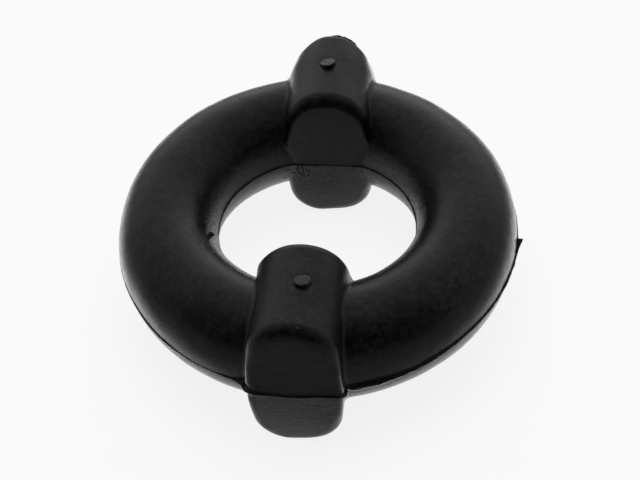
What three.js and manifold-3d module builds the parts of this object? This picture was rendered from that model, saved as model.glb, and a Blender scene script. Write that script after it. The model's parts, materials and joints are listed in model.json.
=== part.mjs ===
// Rubber hanger ring for an exhaust: a thick ring with two lugs moulded across it, in one piece.
// Millimetres, +Z up. The ring's axis is Z, and the mould's parting plane is z = 0.
// The lugs lie along Y: a hook bears on the inner end of each.
import * as THREE from 'three';
import { mergeVertices } from 'three/addons/utils/BufferGeometryUtils.js';
import Module from 'manifold-3d';

// Ring. Its section is a rounded oval, a little taller than it is wide.
const ringMiddleRadius = 23.82;      // from the ring's axis to the middle of its section
const sectionHalfWidth = 7.9;
const sectionHalfHeight = 8.75;
const sectionFullness = 2.1;         // 2 is a true ellipse, and more is squarer
const sectionSteps = 36;
const ringSteps = 84;

// Lugs. Each is a bar with a round crown above and another below.
const lugInnerEnd = 14.5;            // from the ring's axis to the end in the hole, at the parting plane
const lugOuterEnd = 33.7;            // and to the end outside the ring
const lugHalfWidth = 7.25;           // at the parting plane
const crownRadius = 6.65;
const upperHeight = 13.6;            // from the parting plane to the top of the crown
const lowerHeight = 12.2;
const endDraft = 4;                  // degrees that each half of an end leans back
const endRounding = 1.5;
const crownSteps = 18;
const roundingSteps = 4;

// Flash: the thin rib that the mould leaves where its halves meet.
const flashReach = 0.27;
const flashThickness = 0.36;

// Torn flash that stands out of the ring at one place.
const tagAngle = -4;                 // degrees from +X towards +Y
const tagReach = 1.0;                // past the ring's own side
const tagLength = 3;
const tagThickness = 0.6;

// Stub of the feed on each upper crown, and its shift from the crown's middle.
const stubRadius = 1.35;
const stubHeight = 0.95;
const stubSteps = 20;
const farStubShift = new THREE.Vector2(0, 0);
const nearStubShift = new THREE.Vector2(0.95, 0.7);

// How far a piece is sunk into what it grows from, or runs past what it cuts.
const sunk = 1.2;

const lugMiddle = (lugInnerEnd + lugOuterEnd) / 2;
const lugLength = lugOuterEnd - lugInnerEnd;

const wasm = await Module();
wasm.setup();

// A closed geometry as a solid that can be joined and cut.
function solidOf(geometry) {
  geometry.deleteAttribute('normal');
  geometry.deleteAttribute('uv');
  const merged = mergeVertices(geometry, 1e-4);
  return new wasm.Manifold(new wasm.Mesh({
    numProp: 3,
    vertProperties: new Float32Array(merged.attributes.position.array),
    triVerts: new Uint32Array(merged.index.array),
  }));
}

// A solid as a geometry for a mesh.
function geometryOf(solid) {
  const mesh = solid.getMesh();
  const geometry = new THREE.BufferGeometry();
  geometry.setAttribute('position', new THREE.BufferAttribute(new Float32Array(mesh.vertProperties), 3));
  geometry.setIndex(new THREE.BufferAttribute(new Uint32Array(mesh.triVerts), 1));
  geometry.computeVertexNormals();
  return geometry;
}

// The ring: its oval section, with the flash rib on both sides, turned about Z.
function makeRing() {
  const outline = [];
  const power = 2 / sectionFullness;
  const flashHalf = flashThickness / 2;
  for (let i = 0; i < sectionSteps; i += 1) {
    const turn = (i + 0.5) / sectionSteps * 2 * Math.PI;
    const across = Math.cos(turn);
    const up = Math.sin(turn);
    outline.push(new THREE.Vector2(
      ringMiddleRadius + sectionHalfWidth * Math.sign(across) * Math.abs(across) ** power,
      sectionHalfHeight * Math.sign(up) * Math.abs(up) ** power,
    ));
  }
  outline.push(outline[0].clone());
  const body = new THREE.LatheGeometry(outline, ringSteps);
  const innerFlash = ringMiddleRadius - sectionHalfWidth - flashReach;
  const outerFlash = ringMiddleRadius + sectionHalfWidth + flashReach;
  const rib = new THREE.LatheGeometry([
    new THREE.Vector2(innerFlash, -flashHalf),
    new THREE.Vector2(outerFlash, -flashHalf),
    new THREE.Vector2(outerFlash, flashHalf),
    new THREE.Vector2(innerFlash, flashHalf),
    new THREE.Vector2(innerFlash, -flashHalf),
  ], ringSteps);
  body.rotateX(Math.PI / 2);
  rib.rotateX(Math.PI / 2);
  return solidOf(body).add(solidOf(rib));
}

// Moves a piece drawn above the parting plane and about a lug's middle to its own lug and side.
function inPlace(geometry, below, middle) {
  if (below) {
    geometry.rotateY(Math.PI);
  }
  return geometry.translate(0, middle, 0);
}

// Half of a lug, from the parting plane to its crown: the arched outline is drawn inside by the
// rounding, extruded with a round bevel, and its ends then lean back by their draft.
function makeLugHalf(height, below, middle) {
  const crownCentre = height - crownRadius;
  const drop = Math.hypot(lugHalfWidth, crownCentre);
  const flankTurn = Math.acos(crownRadius / drop) - Math.atan2(crownCentre, lugHalfWidth);
  const insetRadius = crownRadius - endRounding;
  const flankReach = (insetRadius + (crownCentre + sunk) * Math.sin(flankTurn)) / Math.cos(flankTurn);
  const outline = new THREE.Shape();
  outline.moveTo(-flankReach, -sunk);
  outline.lineTo(flankReach, -sunk);
  outline.absarc(0, crownCentre, insetRadius, flankTurn, Math.PI - flankTurn, false);
  outline.closePath();
  const straight = lugLength - 2 * endRounding;
  const bar = new THREE.ExtrudeGeometry(outline, {
    depth: straight,
    curveSegments: crownSteps,
    bevelEnabled: true,
    bevelThickness: endRounding,
    bevelSize: endRounding,
    bevelSegments: roundingSteps,
  });
  bar.translate(0, 0, -straight / 2);
  bar.rotateX(Math.PI / 2);
  const lean = Math.tan(THREE.MathUtils.degToRad(endDraft));
  const points = bar.attributes.position;
  for (let i = 0; i < points.count; i += 1) {
    const along = points.getY(i);
    points.setY(i, along - Math.sign(along) * points.getZ(i) * lean);
  }
  const above = new THREE.BoxGeometry(4 * lugHalfWidth, 2 * lugLength, 2 * height);
  above.translate(0, 0, height);
  return solidOf(inPlace(bar, below, middle)).intersect(solidOf(inPlace(above, below, middle)));
}

// The flash rib round a lug: a thin plate of the lug's plan, wider all round by the flash's reach.
function makeLugFlash(middle) {
  const halfWidth = lugHalfWidth + flashReach;
  const halfLength = lugLength / 2 + flashReach;
  const corner = endRounding + flashReach;
  const plan = new THREE.Shape();
  plan.absarc(halfWidth - corner, halfLength - corner, corner, 0, Math.PI / 2, false);
  plan.absarc(corner - halfWidth, halfLength - corner, corner, Math.PI / 2, Math.PI, false);
  plan.absarc(corner - halfWidth, corner - halfLength, corner, Math.PI, 1.5 * Math.PI, false);
  plan.absarc(halfWidth - corner, corner - halfLength, corner, 1.5 * Math.PI, 2 * Math.PI, false);
  plan.closePath();
  const plate = new THREE.ExtrudeGeometry(plan, {
    depth: flashThickness,
    curveSegments: 6,
    bevelEnabled: false,
  });
  plate.translate(0, middle, -flashThickness / 2);
  return solidOf(plate);
}

// The feed stub on a lug's upper crown.
function makeStub(middle, shift) {
  const seat = upperHeight - crownRadius + Math.sqrt(crownRadius ** 2 - shift.x ** 2);
  const stub = new THREE.CylinderGeometry(stubRadius, stubRadius, stubHeight + sunk, stubSteps);
  stub.rotateX(Math.PI / 2);
  stub.translate(shift.x, middle + shift.y, seat + (stubHeight - sunk) / 2);
  return solidOf(stub);
}

// A whole lug, with its stub and its flash.
function makeLug(middle, stubShift) {
  return makeLugHalf(upperHeight, false, middle)
    .add(makeLugHalf(lowerHeight, true, middle))
    .add(makeStub(middle, stubShift))
    .add(makeLugFlash(middle));
}

// The torn flash: a small wedge that runs out of the ring's side.
function makeTag() {
  const root = ringMiddleRadius + sectionHalfWidth;
  const wedge = new THREE.Shape();
  wedge.moveTo(root - sunk, -tagLength / 2);
  wedge.lineTo(root, -tagLength / 2);
  wedge.lineTo(root + tagReach, tagLength / 3);
  wedge.lineTo(root + tagReach * 0.9, tagLength / 2);
  wedge.lineTo(root - sunk, tagLength / 2);
  wedge.closePath();
  const tag = new THREE.ExtrudeGeometry(wedge, { depth: tagThickness, bevelEnabled: false });
  tag.translate(0, 0, -tagThickness / 2);
  tag.rotateZ(THREE.MathUtils.degToRad(tagAngle));
  return solidOf(tag);
}

const whole = makeRing()
  .add(makeLug(lugMiddle, farStubShift))
  .add(makeLug(-lugMiddle, nearStubShift))
  .add(makeTag());

// Black rubber with a satin skin.
const rubber = new THREE.MeshStandardMaterial({ color: 0x1b1b1d, roughness: 0.5, metalness: 0 });

const ringMesh = new THREE.Mesh(geometryOf(whole), rubber);
ringMesh.name = 'hanger_ring';

const group = new THREE.Group();
group.add(ringMesh);

export default group;
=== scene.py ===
# Rubber hanger ring for an exhaust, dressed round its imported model.
# Shapes are worked out in millimetres and become metres when a mesh is made.
import json
import math
import bpy
import bmesh
import numpy as np
from mathutils import Matrix, Vector

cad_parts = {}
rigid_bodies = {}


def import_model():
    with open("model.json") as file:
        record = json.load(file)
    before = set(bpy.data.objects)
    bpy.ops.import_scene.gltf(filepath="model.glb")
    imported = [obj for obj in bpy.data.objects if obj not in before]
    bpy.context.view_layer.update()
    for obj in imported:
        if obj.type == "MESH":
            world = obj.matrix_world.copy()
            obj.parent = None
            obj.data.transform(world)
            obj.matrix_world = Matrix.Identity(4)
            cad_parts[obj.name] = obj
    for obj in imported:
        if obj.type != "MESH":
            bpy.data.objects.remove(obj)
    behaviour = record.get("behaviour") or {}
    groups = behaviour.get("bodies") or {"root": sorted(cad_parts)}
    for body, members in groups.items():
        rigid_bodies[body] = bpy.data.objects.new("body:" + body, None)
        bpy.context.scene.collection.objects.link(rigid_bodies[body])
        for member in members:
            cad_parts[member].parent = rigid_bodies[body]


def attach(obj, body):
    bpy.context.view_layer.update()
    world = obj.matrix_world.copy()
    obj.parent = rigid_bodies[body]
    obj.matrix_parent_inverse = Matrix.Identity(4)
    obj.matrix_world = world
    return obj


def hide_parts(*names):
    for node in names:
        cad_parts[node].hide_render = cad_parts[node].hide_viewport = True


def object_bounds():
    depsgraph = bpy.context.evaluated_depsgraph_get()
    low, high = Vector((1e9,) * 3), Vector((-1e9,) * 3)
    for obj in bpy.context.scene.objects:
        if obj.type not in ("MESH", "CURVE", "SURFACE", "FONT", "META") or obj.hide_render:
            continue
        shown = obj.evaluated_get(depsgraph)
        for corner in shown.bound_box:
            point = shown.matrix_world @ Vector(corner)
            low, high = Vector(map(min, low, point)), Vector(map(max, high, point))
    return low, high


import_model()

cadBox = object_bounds()
cadLow = np.array(cadBox[0]) * 1000
cadHigh = np.array(cadBox[1]) * 1000
mm = 0.001
scene = bpy.context.scene

# The photograph's view: the camera looks at the ring's middle, set off by a little.
photoView = {
    "lens": 75.2, "sensor": 36,
    "nearest": 0.01,        # where the picture starts, m
    "distance": 214.4,      # from the ring's middle, mm
    "elevation": 46.75,     # degrees above the floor
    "turn": 8.76,           # degrees that the camera stands round from -Y towards +X
    "roll": -4.18,
    "aside": 0.445,         # the camera's own shift to its right and up, mm
    "above": -2.007,
}


def makeCamera(say):
    up = math.radians(say["elevation"])
    tip = math.radians(say["roll"])
    ahead = Vector((0, math.cos(up), -math.sin(up)))
    right = Vector((1, 0, 0))
    top = right.cross(ahead)
    tippedRight = right * math.cos(tip) + top * math.sin(tip)
    tippedTop = top * math.cos(tip) - right * math.sin(tip)
    place = tippedRight * say["aside"] + tippedTop * say["above"] - ahead * say["distance"]
    facing = Matrix((tippedRight, tippedTop, -ahead)).transposed().to_4x4()
    camera = bpy.data.objects.new("camera", bpy.data.cameras.new("camera"))
    camera.data.lens = say["lens"]
    camera.data.sensor_width = say["sensor"]
    camera.data.clip_start = say["nearest"]
    turned = Matrix.Rotation(math.radians(say["turn"]), 4, "Z")
    camera.matrix_world = turned @ Matrix.Translation(place * mm) @ facing
    scene.collection.objects.link(camera)
    scene.camera = camera


makeCamera(photoView)
print("camera set")

# The moulding's own sizes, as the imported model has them.
# A lug's ends are measured from the ring's axis, and its heights from the parting line.
ring = {"middle": 23.82, "halfWidth": 7.9, "halfHeight": 8.75, "fullness": 2.1}
lug = {
    "inner": 14.5, "outer": 33.7, "halfWidth": 7.25, "crown": 6.65,
    "upper": 13.6, "lower": 12.2, "lean": 4.0,
    "lowerFlat": 0.75,      # half of the flat under a lower crown
}
lugMiddle = (lug["inner"] + lug["outer"]) / 2
lugHalf = (lug["outer"] - lug["inner"]) / 2
ringOuter = ring["middle"] + ring["halfWidth"]

# The hole's wall bulges a little beside the far lug.
bulge = {"by": 0.4, "aside": -2.0, "wide": 9.0, "high": 2.4}

# The two lugs aren't quite alike. Each is turned a little about its outer end and widens by its
# flare towards the hole. The flanks have a foot: the far lug's outside the ring, and the near
# lug's in the hole. The far crown narrows outwards. A foot is given at the left and at the right,
# and other pairs are heights, or ways along the lug from its middle, between which a change runs.
farLug = {
    "side": 1, "turn": math.radians(1.2),
    "flare": 0.32, "flareHeights": (0, 5),
    "foot": (0.85, 0.5), "footHeights": (5, 14),
    "taper": 1.1, "taperAlong": (3, lugHalf - 1),
}
nearLug = {
    "side": -1, "turn": math.radians(-0.8),
    "flare": 0.5, "flareHeights": (2, 7),
    "foot": (0.55, 0.15), "leftHeights": (7.5, 12), "rightHeights": (5, 8.5),
}
towardsHole = (1 - lugHalf, 8 - lugHalf)    # along a lug: whole up to the first, none past the second
leftToRight = (-3, 3)                       # across it

# Roundings of an end's edge: round the crown, down its sides, and low down beside the parting line.
rounding = {
    "crown": 1.5,
    "seenCrown": 1.85,      # on an end that the photograph shows
    "lowerCrown": 1.2,      # on the lower crowns' left, while their right has the one above
    "crownFrom": (-2.5, 1.5),       # heights from the crown's middle
    "outside": 0.95, "outsideLow": 1.9, "outsideLowTo": (0.3, 2.4), "outsideLowLeft": (1, 4),
    "hole": 1.0, "holeLow": 2.2, "holeLowTo": (0.3, 4.4),
    "shoulder": 0.8, "shoulderFrom": (1.5, 5),      # what the far outer end gains at the shoulders
}
fillets = {"outside": 0.75, "hole": 0.35, "between": (17.5, 21.5)}    # where a lug meets the ring


def blendFrom(values, low, high):
    t = np.clip((values - low) / (high - low), 0, 1)
    return t * t * (3 - 2 * t)


def mixed(a, b, share):
    return a + (b - a) * share


# Fields give the distance of points from a surface, negative inside it.
def ringField(p):
    reach = np.hypot(p[:, 0], p[:, 1])
    besideFarLug = np.exp(-((p[:, 0] - bulge["aside"]) / bulge["wide"]) ** 2) * (p[:, 1] > 0)
    inward = bulge["by"] * besideFarLug * np.exp(-(p[:, 2] / bulge["high"]) ** 2)
    out = reach - ring["middle"]
    u = np.abs(np.where(out < 0, out + inward, out)) / ring["halfWidth"]
    v = np.abs(p[:, 2]) / ring["halfHeight"]
    n = ring["fullness"]
    size = np.maximum((u ** n + v ** n) ** (1 / n), 1e-6)
    slope = np.hypot(u ** (n - 1) / ring["halfWidth"], v ** (n - 1) / ring["halfHeight"])
    return (size - 1) / np.maximum(size ** (1 - n) * slope, 1e-6)


def lugGain(each, y, height, above, right):    # of the half width
    toHole = 1 - blendFrom(y, *towardsHole)
    up = blendFrom(height, *each["flareHeights"])
    left = each["foot"][0]
    if each is farLug:
        foot = mixed(left, each["foot"][1], right) * (1 - blendFrom(height, *each["footHeights"]))
        return each["flare"] * toHole * up + foot * (1 - toHole)
    foot = left * (1 - blendFrom(height, *each["leftHeights"])) * (1 - right)
    foot = foot + each["foot"][1] * (1 - blendFrom(height, *each["rightHeights"])) * right
    return each["flare"] * toHole * (1 - up) + foot * toHole * above


def edgeRounding(each, x, y, height, above, right, crownHeight):
    say = rounding
    inHole = y < 0
    holeLow = 1 - blendFrom(height, *say["holeLowTo"])
    outsideLow = 1 - blendFrom(height, *say["outsideLowTo"])
    outsideLow = outsideLow * blendFrom(-x, *say["outsideLowLeft"])
    down = np.where(inHole, mixed(say["hole"], say["holeLow"], holeLow),
                    mixed(say["outside"], say["outsideLow"], outsideLow))
    upper = np.where(inHole == (each is farLug), say["seenCrown"], say["crown"])
    crown = np.where(above, upper, mixed(say["lowerCrown"], say["seenCrown"], right))
    low, high = say["crownFrom"]
    onCrown = blendFrom(height, crownHeight + low, crownHeight + high)
    shoulder = say["shoulder"] * blendFrom(np.abs(x), *say["shoulderFrom"]) * onCrown
    return mixed(down, crown, onCrown) + np.where(inHole | (each is nearLug), 0, shoulder)


def lugField(p, each):
    turn, side = each["turn"], each["side"]
    x, y = p[:, 0], p[:, 1] - side * lug["outer"]
    x, y = x * math.cos(turn) + y * math.sin(turn), y * math.cos(turn) - x * math.sin(turn)
    y = side * y + lugHalf
    height = np.abs(p[:, 2])
    above = p[:, 2] > 0
    right = blendFrom(p[:, 0], *leftToRight)
    flat = np.where(above, 0, lug["lowerFlat"])
    radius = lug["crown"] - flat
    if each is farLug:
        radius = radius - each["taper"] * blendFrom(y, *each["taperAlong"]) * above
    across = np.abs(x) - flat - lugGain(each, y, height, above, right)
    crownHeight = np.where(above, lug["upper"], lug["lower"]) - radius
    drop = np.hypot(lug["halfWidth"] - flat, crownHeight)
    flank = np.arccos(radius / drop) - np.arctan2(crownHeight, lug["halfWidth"] - flat)
    fromCentre = height - crownHeight
    along = fromCentre * np.cos(flank) - across * np.sin(flank)
    onFlank = across * np.cos(flank) + fromCentre * np.sin(flank) - radius
    onCrown = np.hypot(np.maximum(across, 0), fromCentre) - radius
    section = np.where(along > 0, onCrown, onFlank)
    lean = math.radians(lug["lean"])
    end = (np.abs(y) - lugHalf) * math.cos(lean) + height * math.sin(lean)
    r = edgeRounding(each, x, y, height, above, right, crownHeight)
    out = np.hypot(np.maximum(section + r, 0), np.maximum(end + r, 0))
    return out + np.minimum(np.maximum(section + r, end + r), 0) - r


def filletJoin(a, b, r):
    out = np.hypot(np.maximum(r - a, 0), np.maximum(r - b, 0))
    return np.maximum(r, np.minimum(a, b)) - out


def shapeField(p):
    away = blendFrom(np.hypot(p[:, 0], p[:, 1]), *fillets["between"])
    foot = mixed(fillets["hole"], fillets["outside"], away)
    whole = filletJoin(ringField(p), lugField(p, farLug), foot)
    return filletJoin(whole, lugField(p, nearLug), foot)


# What the skin shows besides its shape: slow waves from the mould, a shallow trough round each
# feed stub, and pits where air was caught.
stubs = {
    "radius": 1.24, "steps": 48, "trough": 0.05, "troughWide": 0.5,
    # place from above, the top's height, and how much higher it is at the right and at the front
    "stub_far": (0.0, lugMiddle + 0.4, 0.35, 0.23, 0.24),
    "stub_near": (0.95, -lugMiddle + 0.7, 0.29, 0.03, 0.2),
    # from the root to the top's middle: the ring's size, its shift up and how far it is on the top
    "levels": [(1.1, -1.0, 0), (1.08, -0.08, 0), (1.03, 0.03, 0), (1.0, 0, 0.25), (0.99, 0, 0.6),
               (0.98, 0, 0.88), (0.93, 0, 0.985), (0.8, 0, 1), (0.6, 0, 0.97), (0.4, 0, 0.99),
               (0.2, 0, 0.96)],
    "seed": 40, "ragged": 0.035, "raggedGrain": 2.5, "torn": 0.05, "tornGrain": 1.2, "tornFrom": 0.9,
}
stubNames = ("stub_far", "stub_near")
waves = {"long": (30, 7, 18, 0.03, 3), "short": (30, 1.8, 4.5, 0.006, 4)}    # count, lengths, height, seed
pits = {
    "seed": 8,
    "cluster": {
        "count": 28, "middle": (-3.9, 14.62, -1.35), "spread": (1.15, 0.1, 0.75), "radius": (0.13, 0.22),
    },
    "apart": 0.36, "highest": -0.35,
    "single": [(-7.25, 14.95, -3.81), (0.82, 14.78, -3.98), (-15.3, -2.4, 3.1), (-1.55, 14.6, -1.9)],
    "singleRadius": 0.2, "depth": 1.3, "squash": 0.7, "steep": 1.5,
}
settling = {"step": 0.01, "leastSlope": 0.05, "far": 12, "near": 4}    # the last two are rounds


def wavesAt(p, count, shortest, longest, height, seed):
    random = np.random.RandomState(seed)
    total = np.zeros(len(p))
    for _ in range(count):
        way = random.normal(size=3)
        way *= 2 * math.pi / (np.linalg.norm(way) * random.uniform(shortest, longest))
        total += np.sin(p @ way + random.uniform(0, 2 * math.pi))
    return total * height / math.sqrt(count / 2)


def placePits():
    random = np.random.RandomState(pits["seed"])
    cluster = pits["cluster"]
    found = [(np.array(place), pits["singleRadius"]) for place in pits["single"]]
    while len(found) < cluster["count"]:
        place = np.array(cluster["middle"]) + random.normal(size=3) * cluster["spread"]
        nearest = min(np.linalg.norm(place - other) for other, _ in found)
        if nearest > pits["apart"] and place[2] < pits["highest"]:
            found.append((place, random.uniform(*cluster["radius"])))
    places = settle(shapeField, np.array([place for place, _ in found]), settling["far"])
    return [(place, radius) for place, (_, radius) in zip(places, found)]


def carvedAt(p):
    depth = np.zeros(len(p))
    for x, y in [stubs[name][:2] for name in stubNames]:
        away = np.hypot(p[:, 0] - x, p[:, 1] - y) - stubs["radius"]
        high = p[:, 2] > lug["upper"] - lug["crown"]
        depth += np.where(high, stubs["trough"] * np.exp(-(away / stubs["troughWide"]) ** 2), 0)
    for place, radius in pitPlaces:
        depth += pits["depth"] * radius * inPit(p, place, radius) ** pits["steep"]
    return depth


def inPit(p, place, radius):
    away = (p - place) * (1, 1, pits["squash"])
    return np.maximum(1 - (away ** 2).sum(1) / radius ** 2, 0)


def skinField(p):
    return shapeField(p) + carvedAt(p) + wavesAt(p, *waves["long"]) + wavesAt(p, *waves["short"])


def slopeOf(field, p, step=settling["step"]):
    slope = np.empty_like(p)
    for axis in range(3):
        shift = np.zeros(3)
        shift[axis] = step
        slope[:, axis] = (field(p + shift) - field(p - shift)) / (2 * step)
    return slope


def settle(field, p, rounds=settling["near"]):    # moves points straight on to the surface
    step = settling["step"]
    for _ in range(rounds):
        off = field(p)
        slope = np.stack([(field(p + shift) - off) / step for shift in np.eye(3) * step], 1)
        steepness = np.maximum((slope ** 2).sum(1), settling["leastSlope"])
        p = p - slope * (off / steepness)[:, None]
    return p


pitPlaces = placePits()


def pieceFrom(name, points, faces, normals=None):
    mesh = bpy.data.meshes.new(name)
    mesh.from_pydata((np.asarray(points) * mm).tolist(), [], faces)
    mesh.validate()
    mesh.shade_smooth()
    if normals is not None:
        mesh.normals_split_custom_set_from_vertices(normals.tolist())
    piece = bpy.data.objects.new(name, mesh)
    scene.collection.objects.link(piece)
    return piece


# The moulded body: a rough ring and lugs, remeshed evenly, made finer where it has small detail,
# and settled on the skin.
body = {
    "voxel": 0.42, "relax": 6, "pull": 0.6,
    "creaseBand": 0.9,      # how near both surfaces a crease's finer mesh goes
    "pitSpares": (2.4, 1.9, 1.5), "pitMargin": 0.2,     # and round a pit, in its radii and mm
    "floorGap": 0.01, "slopeStep": 0.02,
    "roughTurns": 120, "roughSteps": 40, "roughCrown": 24,
    # for the skin's material: the soft edges of the lower half, of an end's face and of a pit, whose inside
    # gets a painted shade and more roughness
    "lowerEdge": (-0.15, 0.15), "facing": (0.93, 0.985), "faceHalf": 7,
    "pitShare": 0.95, "pitEdge": (0.0, 0.5),
}
# The mould's line isn't flat. It dips on the ring for some way on both sides of the near lug,
# which is at the angle "near" from +X, and bows on that lug's outer face.
parting = {
    "near": 264, "dip": -0.9, "dipFrom": 46, "dipSoft": 5,
    "bow": 0.45, "bowDrop": 0.5, "bowWide": 3.2, "bowSlope": 0.03,
    "faceAside": 0.2, "faceDeep": 2.2, "hole": -0.1,
}


def roughBody():
    rough = bmesh.new()
    turns, steps = body["roughTurns"], body["roughSteps"]
    for i in range(turns):
        a = 2 * math.pi * i / turns
        for j in range(steps):
            b = 2 * math.pi * j / steps
            r = ring["middle"] + ring["halfWidth"] * math.cos(b)
            rough.verts.new((r * math.cos(a), r * math.sin(a), ring["halfHeight"] * math.sin(b)))
    rough.verts.ensure_lookup_table()
    for i in range(turns):
        for j in range(steps):
            near, far = i * steps, (i + 1) % turns * steps
            k = (j + 1) % steps
            rough.faces.new([rough.verts[n] for n in (near + j, far + j, far + k, near + k)])
    for side in (1, -1):
        hull = []
        for up, height in ((1, lug["upper"]), (-1, lug["lower"])):
            centre = height - lug["crown"]
            outline = [(lug["halfWidth"], 0), (-lug["halfWidth"], 0)]
            for k in range(body["roughCrown"] + 1):
                a = math.pi * k / body["roughCrown"]
                outline.append((lug["crown"] * math.cos(a), centre + lug["crown"] * math.sin(a)))
            for x, z in outline:
                for end in (-1, 1):
                    y = end * (lugHalf - z * math.tan(math.radians(lug["lean"])))
                    hull.append(rough.verts.new((x, side * lugMiddle + y, up * z)))
        found = bmesh.ops.convex_hull(rough, input=hull)
        bmesh.ops.delete(rough, geom=found["geom_interior"], context="VERTS")
    bmesh.ops.recalc_face_normals(rough, faces=rough.faces)
    mesh = bpy.data.meshes.new("rough")
    rough.to_mesh(mesh)
    rough.free()
    return mesh


def evenly(mesh, voxel):
    holder = bpy.data.objects.new("rough", mesh)
    scene.collection.objects.link(holder)
    remesh = holder.modifiers.new("even", "REMESH")
    remesh.mode = "VOXEL"
    remesh.voxel_size = voxel
    even = bpy.data.meshes.new_from_object(holder.evaluated_get(bpy.context.evaluated_depsgraph_get()))
    bpy.data.objects.remove(holder)
    return even


def pointsOf(mesh):
    points = np.empty(len(mesh.vertices) * 3, np.float32)
    mesh.vertices.foreach_get("co", points)
    return points.reshape(-1, 3).astype(float)


def edgesOf(mesh):
    edges = np.empty(len(mesh.edges) * 2, np.int32)
    mesh.edges.foreach_get("vertices", edges)
    return edges.reshape(-1, 2)


def finer(mesh, wanted):    # halves the mesh where wanted(points) is true
    work = bmesh.new()
    work.from_mesh(mesh)
    chosen = wanted(pointsOf(mesh))
    edges = [e for e in work.edges if chosen[e.verts[0].index] and chosen[e.verts[1].index]]
    bmesh.ops.subdivide_edges(work, edges=edges, cuts=1, use_grid_fill=True)
    work.to_mesh(mesh)
    work.free()


def nearCrease(p):
    onRing = np.abs(ringField(p)) < body["creaseBand"]
    onLug = np.minimum(np.abs(lugField(p, farLug)), np.abs(lugField(p, nearLug))) < body["creaseBand"]
    return onRing & onLug


def nearPit(p, spare):
    found = np.zeros(len(p), bool)
    for place, radius in pitPlaces:
        found |= ((p - place) ** 2).sum(1) < (radius * spare + body["pitMargin"]) ** 2
    return found


def relax(field, points, edges, rounds):    # evens the spacing of points along the surface
    ends = np.concatenate([edges[:, 0], edges[:, 1]])
    others = np.concatenate([edges[:, 1], edges[:, 0]])
    count = np.maximum(np.bincount(ends, minlength=len(points)), 1)
    for _ in range(rounds):
        mean = np.stack([np.bincount(ends, points[others, k], len(points)) for k in range(3)], 1)
        points = points * (1 - body["pull"]) + mean / count[:, None] * body["pull"]
        points = settle(field, points, 1)
    return points


def partingHeight(p):
    say = parting
    turn = np.degrees(np.arctan2(p[:, 1], p[:, 0])) % 360
    onFace = np.abs(p[:, 0]) < lug["halfWidth"] + say["faceAside"]
    onFace = onFace & (p[:, 1] < -lug["outer"] + say["faceDeep"])
    dip = say["dip"] / (1 + np.exp((np.abs(turn - say["near"]) - say["dipFrom"]) / say["dipSoft"]))
    bow = say["bow"] - say["bowDrop"] * np.exp(-(p[:, 0] / say["bowWide"]) ** 2) + say["bowSlope"] * p[:, 0]
    outside = np.hypot(p[:, 0], p[:, 1]) > ring["middle"]
    return np.where(onFace, bow, np.where(outside, dip, say["hole"]))


def noteOn(piece, name, values):
    note = piece.data.attributes.new(name, "FLOAT", "POINT")
    note.data.foreach_set("value", values.astype(np.float32))


def makeBody():
    mesh = evenly(roughBody(), body["voxel"])
    finer(mesh, nearCrease)
    for spare in body["pitSpares"]:
        finer(mesh, lambda p: nearPit(p, spare))
    points = settle(shapeField, pointsOf(mesh))
    points = relax(shapeField, points, edgesOf(mesh), body["relax"])
    points = settle(skinField, points)
    points[:, 2] = np.maximum(points[:, 2], cadLow[2] + body["floorGap"])
    slope = slopeOf(skinField, points, body["slopeStep"])
    normals = slope / np.linalg.norm(slope, axis=1)[:, None]
    faces = [list(face.vertices) for face in mesh.polygons]
    corners = sum(len(face) - 2 for face in faces)
    print("body:", len(points), "points,", corners, "triangles, off the skin by",
          round(float(np.abs(skinField(points)).max()), 4), "mm at most")
    piece = pieceFrom("hanger_body", points, faces, normals)
    noteOn(piece, "lower", blendFrom(partingHeight(points) - points[:, 2], *body["lowerEdge"]))
    # inside each pit the skin gets a painted shade, a near-black colour, as well as more roughness
    inPits = np.zeros(len(points))
    for place, radius in pitPlaces:
        inPits = np.maximum(inPits, inPit(points, place, radius * body["pitShare"]))
    noteOn(piece, "pitShadeAndRough", blendFrom(inPits, *body["pitEdge"]))
    onFace = blendFrom(np.abs(normals[:, 1]), *body["facing"])
    noteOn(piece, "endFace", onFace * (np.abs(points[:, 0]) < body["faceHalf"]))
    return piece


hanger = makeBody()

# Flash: the thin torn rib where the mould's halves met. Each row is an angle from +X, how far the
# rib stands out there and half its thickness.
flash = {
    "outside": [
        (0, 0.2, 0.12), (90, 0.2, 0.12), (180, 0.1, 0.06), (222, 0.1, 0.05), (244, 0.08, 0.05),
        (252.5, 0.2, 0.14), (255.5, 0.6, 0.36), (257.6, 0.6, 0.42), (259.6, 0.24, 0.34),
        (268, 0.16, 0.28), (276, 0.14, 0.24), (281, 0.24, 0.24), (283.6, 0.42, 0.5),
        (286, 0.5, 0.76), (291, 0.5, 0.7), (297, 0.42, 0.34), (304, 0.36, 0.2), (311, 0.3, 0.14),
        (318, 0.22, 0.07), (330, 0.22, 0.05), (346, 0.28, 0.05), (354, 0.4, 0.09), (358, 0.2, 0.12),
    ],
    "inside": [
        (0, 0.12, 0.08), (25, 0.2, 0.09), (60, 0.2, 0.09), (72, 0.22, 0.08), (92, 0.1, 0.05),
        (100, 0.22, 0.13), (112, 0.24, 0.1), (150, 0.2, 0.1), (172, 0.16, 0.08), (200, 0.1, 0.08),
        (270, 0.12, 0.08), (330, 0.1, 0.08),
    ],
    "spacing": 0.1, "root": 0.5, "boxGap": 0.02, "seeds": {"outside": 5, "inside": 105},
    "ragged": 0.3, "raggedGrain": 5,        # share of the reach, and its grain in steps
    "nicks": 0.16, "nickGrain": 1.4,
    "waver": 0.06, "waverGrain": 16,
    # the rib's section: a share of its reach, and a height in half thicknesses
    "section": [(0, -1.15), (0.78, -0.85), (1, -0.3), (1, 0.25), (0.55, 0.45), (0.25, 0.7), (0, 1.1)],
}
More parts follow.
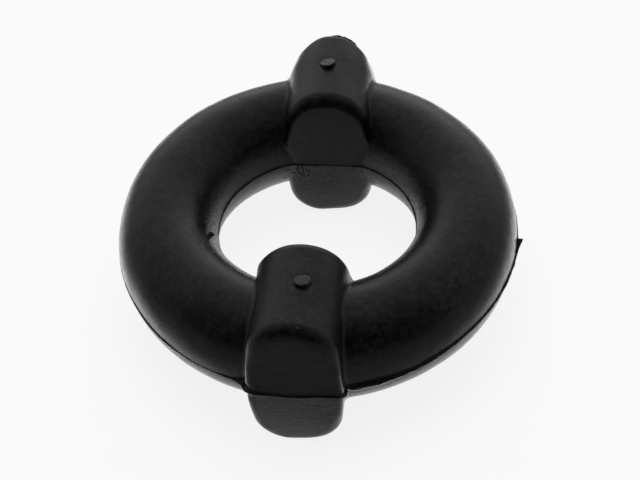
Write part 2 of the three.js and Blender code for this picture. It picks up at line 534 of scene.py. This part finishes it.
# Search for the loop that the rib follows: how far from the axis it starts, how far out the mould's
# line is read, and whether it goes inwards or outwards.
search = {
    "directions": 4000, "grain": 9, "rounds": 60, "pace": 0.7, "slopeStep": 0.25,
    "outside": {"start": 42.0, "read": 33.6, "way": -1},
    "inside": {"start": 9.0, "read": 10.0, "way": 1},
}


def loopKernel(count, grain):
    steps = np.arange(count)
    return np.exp(-0.5 * (np.minimum(steps, count - steps) / grain) ** 2)


def smoothLoop(values, kernel):
    return np.real(np.fft.ifft(np.fft.fft(values) * np.fft.fft(kernel)))


def smoothNoise(count, grain, seed):    # closes on itself, from -1 to 1
    values = np.random.RandomState(seed).normal(size=count)
    smooth = smoothLoop(values, loopKernel(count, grain))
    return smooth / np.abs(smooth).max()


def outlineAt(turn, reach, height):
    return np.stack([reach * np.cos(turn), reach * np.sin(turn), height], 1)


def partingLoop(which):    # even points along the skin at the mould's line, and the way out
    say = search[which]
    turn = np.linspace(0, 2 * math.pi, search["directions"], endpoint=False)
    reach = np.full(turn.shape, say["start"])
    height = partingHeight(outlineAt(turn, np.full(turn.shape, say["read"]), 0 * turn))
    kernel = loopKernel(search["directions"], search["grain"])
    height = smoothLoop(height, kernel / kernel.sum())
    for _ in range(search["rounds"]):
        off = shapeField(outlineAt(turn, reach, height))
        reach = reach + say["way"] * off * search["pace"]
    loop = outlineAt(turn, reach, height)
    closed = np.vstack([loop, loop[:1]])
    run = np.concatenate([[0], np.cumsum(np.linalg.norm(np.diff(closed, axis=0), axis=1))])
    at = np.linspace(0, run[-1], int(run[-1] / flash["spacing"]), endpoint=False)
    even = np.stack([np.interp(at, run, closed[:, k]) for k in range(3)], 1)
    slope = slopeOf(shapeField, even, search["slopeStep"])[:, :2]
    return even, slope / np.linalg.norm(slope, axis=1)[:, None]


def sweptFaces(rows, steps, closed=False, turned=False):    # quads between rows, each a closed ring
    faces = []
    for i in range(rows if closed else rows - 1):
        near, far = i * steps, (i + 1) % rows * steps
        for k in range(steps):
            m = (k + 1) % steps
            face = (near + k, far + k, far + m, near + m)
            faces.append(face[:1] + face[:0:-1] if turned else face)
    return faces


def makeFlash(name, which):
    rows = np.array(flash[which])
    loop, outward = partingLoop(which)
    count = len(loop)
    turn = np.degrees(np.arctan2(loop[:, 1], loop[:, 0])) % 360
    reach = np.interp(turn, rows[:, 0], rows[:, 1], period=360)
    half = np.interp(turn, rows[:, 0], rows[:, 2], period=360)
    seed = flash["seeds"][which]
    reach = reach * (1 + flash["ragged"] * smoothNoise(count, flash["raggedGrain"], seed)
                     + flash["nicks"] * smoothNoise(count, flash["nickGrain"], seed + 1))
    waver = flash["waver"] * smoothNoise(count, flash["waverGrain"], seed + 2)
    section = [(-flash["root"], -1)] + flash["section"] + [(-flash["root"], 1)]
    rings = []
    for out, up in section:
        far = np.full(count, out) if out < 0 else out * reach
        flat = loop[:, :2] + outward * far[:, None]
        rings.append(np.column_stack([flat, loop[:, 2] + waver + up * half]))
    points = np.stack(rings, 1)
    gap = flash["boxGap"]
    points[..., :2] = np.clip(points[..., :2], cadLow[:2] + gap, cadHigh[:2] - gap)
    faces = sweptFaces(count, len(section), closed=True)
    if which == "inside":
        faces = [face[::-1] for face in faces]
    return pieceFrom(name, points.reshape(-1, 3), faces)


flashOutside = makeFlash("flash_outside", "outside")
flashInside = makeFlash("flash_inside", "inside")
print("flash made")

# Scraps of flash that were torn and left: thin plates drawn by their outline, standing out of
# the skin. Each outline point is the way out and the way along, towards the angle's growth. The
# skin lies outside the ring where wayOut is 1, and in its hole where it is -1.
scraps = {
    "flash_tag": {
        "turn": -4, "wayOut": 1, "root": ringOuter, "height": 0.0, "thickness": 0.6, "lift": 0.06,
        "outline": [(-0.6, -1.6), (0.36, -1.6), (0.42, -0.9), (0.52, -0.3), (0.66, 0.2), (0.8, 0.7),
                    (0.91, 1.2), (0.94, 1.4), (0.78, 1.46), (0.5, 1.38), (0.2, 1.46), (-0.1, 1.5),
                    (-0.6, 1.45)],
    },
    "flash_crumb": {
        "turn": -156, "wayOut": -1, "root": ring["middle"] - ring["halfWidth"],
        "height": 4.9, "thickness": 0.4, "lift": 0.1,
        "outline": [(0.4, -0.5), (-0.12, -0.42), (-0.36, -0.2), (-0.3, 0.02), (-0.5, 0.2),
                    (-0.42, 0.42), (-0.05, 0.4), (0.4, 0.5)],
    },
}
plate = {
    "levels": [(-0.5, 0.86), (-0.3, 1.0), (0.3, 1.0), (0.5, 0.86)],     # shares of thickness and outline
    "thinner": 0.45,        # share that it loses 1 mm out
    "wave": 0.04, "waveRate": 3.1, "rounds": 30, "pace": 0.8,
}


def makeScrap(name, say):
    turn = math.radians(say["turn"])
    out = np.array([math.cos(turn), math.sin(turn), 0])
    along = np.array([-math.sin(turn), math.cos(turn), 0])
    root = out * say["root"] + np.array([0, 0, say["height"]])
    for _ in range(plate["rounds"]):
        root = root - out * say["wayOut"] * shapeField(root[None])[0] * plate["pace"]
    points = []
    count = len(say["outline"])
    middle = np.mean(say["outline"], axis=0)
    for level, share in plate["levels"]:
        for x, y in say["outline"]:
            fx, fy = middle + (np.array([x, y]) - middle) * share
            lift = say["lift"] * max(fx, 0) ** 2 + plate["wave"] * math.sin(plate["waveRate"] * fy)
            thin = say["thickness"] * (1 - plate["thinner"] * min(max(fx, 0), 1))
            points.append(root + out * fx + along * fy + np.array([0, 0, level * thin + lift]))
    faces = sweptFaces(len(plate["levels"]), count, turned=True)
    last = (len(plate["levels"]) - 1) * count
    faces.append(tuple(range(count))[::-1])
    faces.append(tuple(range(last, last + count)))
    piece = pieceFrom(name, points, faces)
    piece.data.polygons.foreach_set("use_smooth", [False] * len(faces))
    return piece


scrapPieces = [makeScrap(name, say) for name, say in scraps.items()]

# A torn lip of flash along the crown's edge at the far lug's outer end, between two angles from
# the crown's top towards the right.
lip = {
    "from": -2, "to": 56, "steps": 60, "seed": 21,
    "y": 32.62, "deep": 0.64,       # its root, by the place along the lug and below the crown
    "stand": 0.2, "lean": 0.5, "thickness": 0.065,
    "ragged": 0.22, "raggedGrain": 2, "nicks": 0.1, "nickGrain": 0.8,
    "fadeIn": 0.25, "fadeOut": 0.15, "fadePower": 0.7,      # shares of its length
    # a height in stands, or in mm below the root, and a place across in thicknesses
    "section": [(-0.6, -0.5), (-0.1, -0.5), (0.6, -0.4), (1, -0.2), (1, 0.2), (0.6, 0.4),
                (-0.1, 0.5), (-0.6, 0.5)],
}


def makeLip():
    count = lip["steps"] + 1
    share = np.linspace(0, 1, count)
    crown = np.radians(lip["from"] + (lip["to"] - lip["from"]) * share)
    ragged = 1 + lip["ragged"] * smoothNoise(count, lip["raggedGrain"], lip["seed"])
    ragged = ragged + lip["nicks"] * smoothNoise(count, lip["nickGrain"], lip["seed"] + 1)
    fade = np.clip(np.minimum(share / lip["fadeIn"], (1 - share) / lip["fadeOut"]), 0, 1)
    stand = lip["stand"] * ragged * fade ** lip["fadePower"]
    crownEnd = lug["crown"] - farLug["taper"]
    centre = lug["upper"] - crownEnd
    points = []
    for i in range(count):
        for up, across in lip["section"]:
            high = up * stand[i] if up > 0 else up
            r = crownEnd - lip["deep"] + high
            y = lip["y"] + across * lip["thickness"] + lip["lean"] * max(high, 0)
            points.append((r * math.sin(crown[i]), y, centre + r * math.cos(crown[i])))
    steps = len(lip["section"])
    faces = sweptFaces(count, steps)
    faces.append(tuple(range(steps)))
    faces.append(tuple((count - 1) * steps + k for k in range(steps))[::-1])
    return pieceFrom("flash_lip", points, faces)


lipPiece = makeLip()
print("scraps made")


# Feed stubs: pegs torn off so that their tops slope down and back.
def crownAt(x):
    return lug["upper"] - lug["crown"] + np.sqrt(lug["crown"] ** 2 - x ** 2)


def makeStub(name, seed):
    steps, levels = stubs["steps"], stubs["levels"]
    x, y, height, right, front = stubs[name]
    turn = np.linspace(0, 2 * math.pi, steps, endpoint=False)
    rim = smoothNoise(steps, stubs["raggedGrain"], seed)
    torn = smoothNoise(steps, stubs["tornGrain"], seed + 1)
    points = []
    for share, shift, level in levels:
        r = stubs["radius"] * share * (1 + stubs["ragged"] * rim)
        px = x + r * np.cos(turn)
        py = y + r * np.sin(turn)
        top = height + (right * np.cos(turn) - front * np.sin(turn)) * share
        rough = stubs["torn"] * torn * level if level > stubs["tornFrom"] else 0
        z = crownAt(px) * (1 - level) + level * (crownAt(x) + top) + shift + rough * share
        points.append(np.column_stack([px, py, z]))
    points = np.concatenate(points)
    middle = points[-steps:].mean(0)
    points = np.vstack([points, middle])
    faces = sweptFaces(len(levels), steps, turned=True)
    last = (len(levels) - 1) * steps
    for k in range(steps):
        faces.append((last + k, last + (k + 1) % steps, len(points) - 1))
    faces.append(tuple(range(steps))[::-1])
    return pieceFrom(name, points, faces)


stubPieces = [makeStub(name, stubs["seed"] + i) for i, name in enumerate(stubNames)]
print("stubs made")

# Specks of dust and rubber crumbs that lie on the skin, by their places from above.
specks = {
    "places": [
        (-22, -5), (-25.9, -10.3), (-22.2, -6.2), (-26.3, 0.8), (-22.3, -20.1), (19.9, -1.8),
        (23.9, -3.9), (24.6, -3.8), (24.1, -5.3), (22.7, 1.3), (25.4, 6.9), (24.9, -14.4),
        (-2.2, -20.6), (1.1, -31.6), (6.3, -23.3), (5.4, -25.3),
    ],
    "aboveRing": 9.0, "aboveLug": 13.0, "lugAside": 7,      # heights from which they settle
    "radius": (0.07, 0.15), "uneven": (0.7, 1.25), "longer": 1.3, "sides": 7, "seed": 12,
    "levels": ((-0.3, 0.9), (0.25, 1.0), (0.55, 0.6)),      # heights and widths, in radii
    "lyingAcross": (0.3, 1, 0.1),
}


def makeSpecks():
    random = np.random.RandomState(specks["seed"])
    points, faces = [], []
    n = specks["sides"]
    for x, y in specks["places"]:
        above = specks["aboveRing"] if abs(x) > specks["lugAside"] else specks["aboveLug"]
        place = np.array([x, y, above])
        place = settle(skinField, place[None], settling["far"])[0]
        out = slopeOf(skinField, place[None])[0]
        out /= np.linalg.norm(out)
        side = np.cross(out, specks["lyingAcross"])
        side /= np.linalg.norm(side)
        other = np.cross(out, side)
        radius = random.uniform(*specks["radius"])
        start = len(points)
        for level, share in specks["levels"]:
            for k in range(n):
                a = 2 * math.pi * k / n
                r = radius * share * random.uniform(*specks["uneven"])
                spoke = side * r * math.cos(a) * specks["longer"] + other * r * math.sin(a)
                points.append(place + spoke + out * radius * level)
        rows = len(specks["levels"])
        for face in sweptFaces(rows, n, turned=True):
            faces.append(tuple(start + corner for corner in face))
        faces.append(tuple(start + (rows - 1) * n + k for k in range(n)))
        faces.append(tuple(start + k for k in range(n))[::-1])
    return pieceFrom("dust_specks", points, faces)


speckPiece = makeSpecks()


# Shader maths: one socket with arithmetic.
class Wire:
    def __init__(self, tree, socket):
        self.tree = tree
        self.socket = socket

    def maths(self, operation, *others):
        node = self.tree.nodes.new("ShaderNodeMath")
        node.operation = operation
        for slot, value in zip(node.inputs, (self,) + others):
            feed(self.tree, value, slot)
        return Wire(self.tree, node.outputs[0])

    def __add__(self, other):
        return self.maths("ADD", other)

    def __radd__(self, other):
        return self.maths("ADD", other)

    def __sub__(self, other):
        return self.maths("SUBTRACT", other)

    def __rsub__(self, other):
        return (self * -1).maths("ADD", other)

    def __mul__(self, other):
        return self.maths("MULTIPLY", other)

    def __rmul__(self, other):
        return self.maths("MULTIPLY", other)

    def between(self, low, high):    # 0 below low, 1 above high, smooth between
        node = self.tree.nodes.new("ShaderNodeMapRange")
        node.interpolation_type = "SMOOTHSTEP"
        for slot, value in zip(node.inputs, (self, low, high, 0.0, 1.0)):
            feed(self.tree, value, slot)
        return Wire(self.tree, node.outputs[0])


def feed(tree, value, slot):
    if isinstance(value, Wire):
        tree.links.new(value.socket, slot)
    else:
        slot.default_value = value


class Finish:
    def __init__(self, tree):
        self.tree = tree
        self.tree.nodes.clear()

    def add(self, kind, settings=None, out=0, **sockets):
        node = self.tree.nodes.new(kind)
        for key, value in (settings or {}).items():
            setattr(node, key, value)
        for key, value in sockets.items():
            found = [slot for slot in node.inputs if slot.name.replace(" ", "") == key and slot.enabled]
            feed(self.tree, value, found[0])
        return Wire(self.tree, node.outputs[out])


def newMaterial(name):
    material = bpy.data.materials.new(name)
    material.use_nodes = True
    return material, Finish(material.node_tree)


def link(it, shader):
    out = it.tree.nodes.new("ShaderNodeOutputMaterial")
    it.tree.links.new(shader.socket, out.inputs[0])


# Marks of wear on the ring, between two ways from their middle: a rubbed patch and a patch of fine
# folds. The hole's wall is coarser too, up to the ring's shoulder.
marks = {
    "smudge": {"place": (22.3, -18.3, 7.0), "ends": (1.5, 5.0), "tone": 0.4},
    "wrinkled": {"place": (-16.6, -10.6, 7.6), "ends": (1.0, 5.2), "turn": 122, "tone": 0.5, "relief": 5.0},
    "holeWall": {"ends": (17.2, 19.5), "shoulder": (4.0, 6.0), "rough": 0.2, "relief": 1.0},
}
# Noises of the skin: scale to a millimetre, detail and roughness, and how their places are stretched.
noises = {
    "grain": (3.4, 4.0, 0.62), "mottle": (0.9, 5.0, 0.65), "cloud": (0.16, 3.0, 0.5),
    "hue": (0.45, 3.0, 0.55), "streak": (1.0, 4.0, 0.6), "folds": (1.0, 3.0, 0.55),
}
stretches = {"streak": (0.35, 1.0, 4.5), "folds": (0.45, 2.6, 1.0)}
# Where a noise starts to show and where it is whole, on the skin and in some of its parts.
spans = {
    "grain": (0.34, 0.66), "mottle": (0.4, 0.62), "cloud": (0.4, 0.6), "hue": (0.42, 0.58),
    "folds": (0.45, 0.62), "smudge": (0.4, 0.6), "lowGrain": (0.36, 0.66), "wallGrain": (0.36, 0.62),
}
# Shares of the noises in the rubbed patches above the parting line, and in the bloom below it.
patchShares = {"grain": 0.4, "mottle": 0.4, "cloud": 0.2, "power": 1.6}
bloomShares = {"grain": 0.5, "mottle": 0.5}
# The roughness of plain skin, and what each mark adds to it.
roughness = {
    "plain": 0.2, "mottle": 0.2, "cloud": 0.1, "lower": 0.06,
    "face": 0.16, "streak": 0.3, "pit": 0.4,
    "torn": 0.75, "dust": 0.8,
}
refraction = {"rubber": 1.39, "torn": 1.3}
colours = {
    "black": (0.0003, 0.0005, 0.0001, 1),
    "olive": (0.0165, 0.0200, 0.0095, 1), "grey": (0.0195, 0.0186, 0.0180, 1),
    "lowBlack": (0.002, 0.0023, 0.0021, 1), "bloom": (0.044, 0.046, 0.046, 1),
    # pit: a painted shade, the near black laid inside each pit
    "pit": (0.0005, 0.0005, 0.0005, 1),
    "tornBlack": (0.001, 0.001, 0.001, 1), "tornGrey": (0.008, 0.008, 0.0075, 1),
    "dust": (0.03, 0.029, 0.026, 1), "paleDust": (0.16, 0.155, 0.14, 1),
}
# Heights of the noises beside the grain's, and the bump's own strength and depth in metres.
relief = {"lower": 1.0, "streak": 2.0, "mottle": 0.8, "strength": 0.6, "depth": 0.00005}


def noise(it, vector, name):
    scale, detail, rough = noises[name]
    return it.add("ShaderNodeTexNoise", Vector=vector, Scale=scale, Detail=detail, Roughness=rough)


def vectorMaths(it, operation, vector, second, out=0):
    node = it.add("ShaderNodeVectorMath", {"operation": operation}, out=out, Vector=vector)
    node.socket.node.inputs[1].default_value = second
    return node


def mixOf(it, share, a, b):
    a, b = [colours[tone] if isinstance(tone, str) else tone for tone in (a, b)]
    return it.add("ShaderNodeMix", {"data_type": "RGBA"}, out=2, Factor=share, A=a, B=b)


def nearMark(it, inMm, say):
    away = vectorMaths(it, "DISTANCE", inMm, say["place"], out=1)
    return 1 - away.between(*say["ends"])


def makeRubber():
    material, it = newMaterial("satin_rubber")
    place = it.add("ShaderNodeTexCoord", out=3)
    inMm = it.add("ShaderNodeVectorMath", {"operation": "SCALE"}, Vector=place, Scale=1 / mm)
    lower, endFace, pitShadeAndRough = [it.add("ShaderNodeAttribute", {"attribute_name": name}, out=2)
                              for name in ("lower", "endFace", "pitShadeAndRough")]
    grain, mottle, cloud, hue = [noise(it, inMm, name) for name in ("grain", "mottle", "cloud", "hue")]
    streak = noise(it, vectorMaths(it, "MULTIPLY", inMm, stretches["streak"]), "streak")

    turn = math.radians(-marks["wrinkled"]["turn"])
    turned = it.add("ShaderNodeVectorRotate", {"rotation_type": "Z_AXIS"}, Vector=inMm, Angle=turn)
    folds = noise(it, vectorMaths(it, "MULTIPLY", turned, stretches["folds"]), "folds")
    smudge, wrinkled = [nearMark(it, inMm, marks[name]) for name in ("smudge", "wrinkled")]
    wall = marks["holeWall"]
    fromAxis = it.add("ShaderNodeVectorMath", {"operation": "LENGTH"}, out=1,
                      Vector=vectorMaths(it, "MULTIPLY", inMm, (1.0, 1.0, 0.0)))
    up = it.add("ShaderNodeSeparateXYZ", out=2, Vector=inMm)
    onWall = (1 - fromAxis.between(*wall["ends"])) * (1 - endFace) * (1 - lower)
    onWall = onWall * (1 - up.between(*wall["shoulder"]))

    # above the parting line, black with rubbed patches of an olive or grey tone
    mottled = mottle.between(*spans["mottle"])
    patches = grain.between(*spans["grain"]) * patchShares["grain"] + mottled * patchShares["mottle"]
    patches = patches + cloud.between(*spans["cloud"]) * patchShares["cloud"]
    patches = patches.maths("POWER", patchShares["power"])
    patches = patches + smudge * mottle.between(*spans["smudge"]) * marks["smudge"]["tone"]
    patches = patches + wrinkled * folds.between(*spans["folds"]) * marks["wrinkled"]["tone"]
    skin = mixOf(it, patches, "black", mixOf(it, hue.between(*spans["hue"]), "olive", "grey"))
    # below it, a paler bloom
    speckled = grain.between(*spans["lowGrain"]) * bloomShares["grain"] + mottled * bloomShares["mottle"]
    whole = mixOf(it, lower, skin, mixOf(it, speckled, "lowBlack", "bloom"))
    # the pits are painted near black: painted shade in the hollows
    colour = mixOf(it, pitShadeAndRough, whole, "pit")

    brushed = endFace * (1 - lower)
    rough = roughness["plain"] + roughness["mottle"] * mottle + roughness["cloud"] * cloud
    rough = rough + lower * roughness["lower"] + pitShadeAndRough * roughness["pit"]
    rough = rough + brushed * (roughness["face"] + (streak - 0.5) * roughness["streak"])
    rough = rough + onWall * grain.between(*spans["wallGrain"]) * wall["rough"]
    height = grain * (1.0 + lower * relief["lower"]) + onWall * grain * wall["relief"]
    height = height + streak * endFace * relief["streak"] + mottle * relief["mottle"]
    height = height + wrinkled * folds * marks["wrinkled"]["relief"]
    bump = it.add("ShaderNodeBump", Strength=relief["strength"], Distance=relief["depth"], Height=height)
    link(it, it.add("ShaderNodeBsdfPrincipled", BaseColor=colour, Roughness=rough, IOR=refraction["rubber"],
                    Normal=bump))
    return material


def makePlain(name, scale, detail, tones, **sockets):    # two tones in a fine noise
    material, it = newMaterial(name)
    place = it.add("ShaderNodeTexCoord", out=3)
    tone = it.add("ShaderNodeTexNoise", Vector=place, Scale=scale, Detail=detail)
    link(it, it.add("ShaderNodeBsdfPrincipled", BaseColor=mixOf(it, tone, *tones), **sockets))
    return material


rubber = makeRubber()
torn = makePlain("torn_rubber", 4000.0, 3.0, ("tornBlack", "tornGrey"), Roughness=roughness["torn"],
                 IOR=refraction["torn"])
dust = makePlain("pale_dust", 3000.0, 2.0, ("dust", "paleDust"), Roughness=roughness["dust"])
dressed = {
    rubber: [hanger, flashOutside, flashInside] + stubPieces,
    torn: [lipPiece] + scrapPieces,
    dust: [speckPiece],
}
for material, pieces in dressed.items():
    for piece in pieces:
        piece.data.materials.append(material)
        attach(piece, "root")
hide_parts("hanger_ring")
print("rubber on")

# Studio: a white floor that glows a little, a light world that is brightest behind the object,
# and a wide soft lamp above.
studio = {
    "size": 3.0, "floorWhite": 0.8, "glow": 1.1, "glowShare": 0.78,
    "worldTint": (0.96, 0.95, 1.03, 1),
    "lampPlace": (0, 0.1, 0.9), "lampSize": (0.8, 0.8), "lampWatts": 3.0,
}
# The floor as reflections see it: bright about the object, dim further off and in the hole's shade.
pool = {
    "aside": -0.0035, "middle": 0.025, "ends": (0.050, 0.065), "bright": 2.8, "dim": 0.27,
    "holeEnds": (0.013, 0.028), "holeShade": 0.95,
}
# The world's light by its direction: a level with a rise and a narrow glow towards the brightest
# way, and a fall in front.
sky = {
    "level": 0.31, "rise": 0.28, "horizon": 1.15, "power": 8, "front": 3.4, "brightest": (-0.06, 1.0, 0.0),
}
white = (1, 1, 1, 1)


def makeFloor():
    size = studio["size"]
    floor = bpy.data.objects.new("floor", bpy.data.meshes.new("floor"))
    low = cadLow[2] * mm
    corners = [(-size, -size, low), (size, -size, low), (size, size, low), (-size, size, low)]
    floor.data.from_pydata(corners, [], [(0, 1, 2, 3)])
    scene.collection.objects.link(floor)
    material, it = newMaterial("white_floor")
    camera = it.add("ShaderNodeLightPath", out=0)
    glossy = it.add("ShaderNodeLightPath", out=3)
    through = it.add("ShaderNodeLightPath", out=6)
    seen = camera.maths("MAXIMUM", glossy).maths("MAXIMUM", through)
    paint = it.add("ShaderNodeBsdfDiffuse", Color=(studio["floorWhite"],) * 3 + (1,))
    place = it.add("ShaderNodeTexCoord", out=3)
    fromPool = vectorMaths(it, "DISTANCE", place, (pool["aside"], pool["middle"], low), out=1)
    fromAxis = it.add("ShaderNodeVectorMath", {"operation": "LENGTH"}, out=1, Vector=place)
    inPool = 1 - fromPool.between(*pool["ends"])
    underHole = 1 - fromAxis.between(*pool["holeEnds"])
    mirrored = inPool * (pool["bright"] - pool["dim"]) * (1 - underHole * pool["holeShade"]) + pool["dim"]
    strength = mirrored * glossy * (1 - camera) + (1 - glossy * (1 - camera)) * studio["glow"]
    glow = it.add("ShaderNodeEmission", Color=white, Strength=strength)
    both = it.tree.nodes.new("ShaderNodeMixShader")
    feed(it.tree, seen * studio["glowShare"], both.inputs[0])
    feed(it.tree, paint, both.inputs[1])
    feed(it.tree, glow, both.inputs[2])
    link(it, Wire(it.tree, both.outputs[0]))
    floor.data.materials.append(material)


def makeLamp():
    lamp = bpy.data.objects.new("soft_lamp", bpy.data.lights.new("soft_lamp", "AREA"))
    lamp.data.shape = "RECTANGLE"
    lamp.data.size, lamp.data.size_y = studio["lampSize"]
    lamp.data.energy = studio["lampWatts"]
    lamp.location = studio["lampPlace"]
    lamp.rotation_mode = "QUATERNION"
    lamp.rotation_quaternion = (-Vector(studio["lampPlace"])).to_track_quat("-Z", "Y")
    lamp.visible_glossy = False
    scene.collection.objects.link(lamp)


def makeWorld():
    world = bpy.data.worlds.new("studio")
    scene.world = world
    world.use_nodes = True
    it = Finish(world.node_tree)
    camera = it.add("ShaderNodeLightPath", out=0)
    way = it.add("ShaderNodeTexCoord", out=0)
    towards = vectorMaths(it, "DOT_PRODUCT", way, sky["brightest"], out=1)
    behind = towards.maths("MAXIMUM", 0.0)
    front = (towards.maths("MINIMUM", 0.0) * sky["front"]).maths("EXPONENT")
    level = sky["level"] + behind * sky["rise"] + behind.maths("POWER", sky["power"]) * sky["horizon"]
    tint = mixOf(it, camera, studio["worldTint"], white)
    light = it.add("ShaderNodeBackground", Color=tint, Strength=level * front * (1 - camera) + camera)
    out = it.tree.nodes.new("ShaderNodeOutputWorld")
    it.tree.links.new(light.socket, out.inputs[0])


makeFloor()
makeLamp()
makeWorld()
scene.view_settings.view_transform = "Standard"
print("studio lit")
